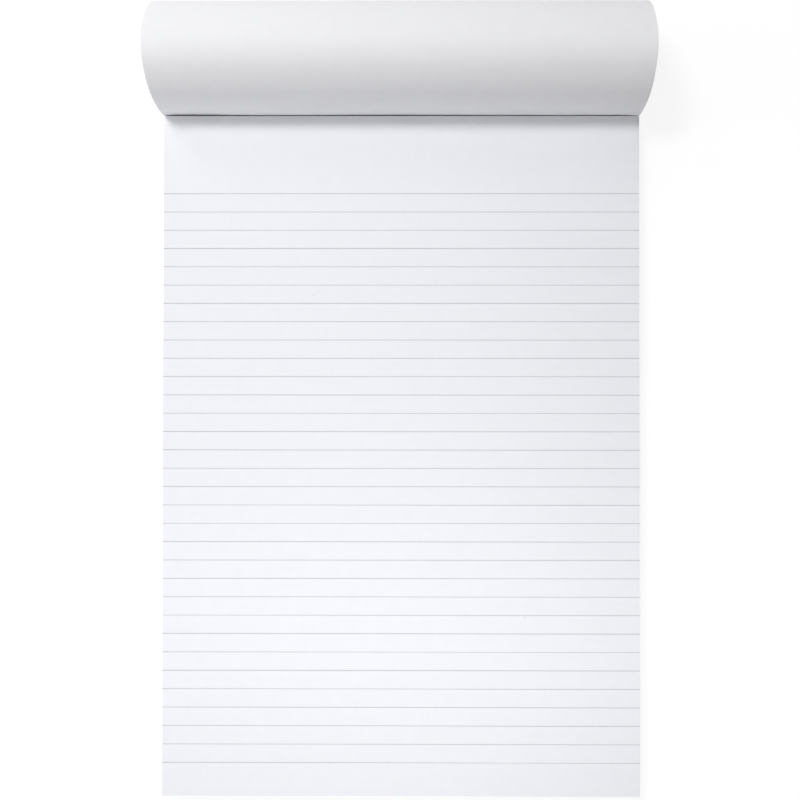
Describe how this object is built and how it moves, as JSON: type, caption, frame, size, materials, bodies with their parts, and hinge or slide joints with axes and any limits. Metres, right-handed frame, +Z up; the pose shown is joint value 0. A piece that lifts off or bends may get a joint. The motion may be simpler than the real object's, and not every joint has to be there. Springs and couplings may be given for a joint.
{
  "type": "legal pad",
  "caption": "Top-bound ruled writing pad with a stiff backing board, its thin paper cover turned back over the head edge in a soft roll and tucked flat under the pad.",
  "frame": {"origin": "middle of the whole on the table: halfway across the pad and halfway between its foot edge and the back of the roll", "axes": "+Z up, out of the written face; +Y from the foot edge to the head edge, along the leaves; +X to the right as the page is read"},
  "size_m": [0.208, 0.342, 0.044],
  "materials": {
    "leaf_paper": "uncoated, matt",
    "ruling_ink": "matt print",
    "greyboard": "uncoated, matt",
    "cover_paper": "uncoated, matt",
    "padding_glue": "dry glue film"
  },
  "bodies": {
    "root": {"leaves": "leaf_paper", "ruled_lines": "ruling_ink", "backing_board": "greyboard", "cover": "cover_paper", "head_glue": "padding_glue"}
  },
  "joints": []
}
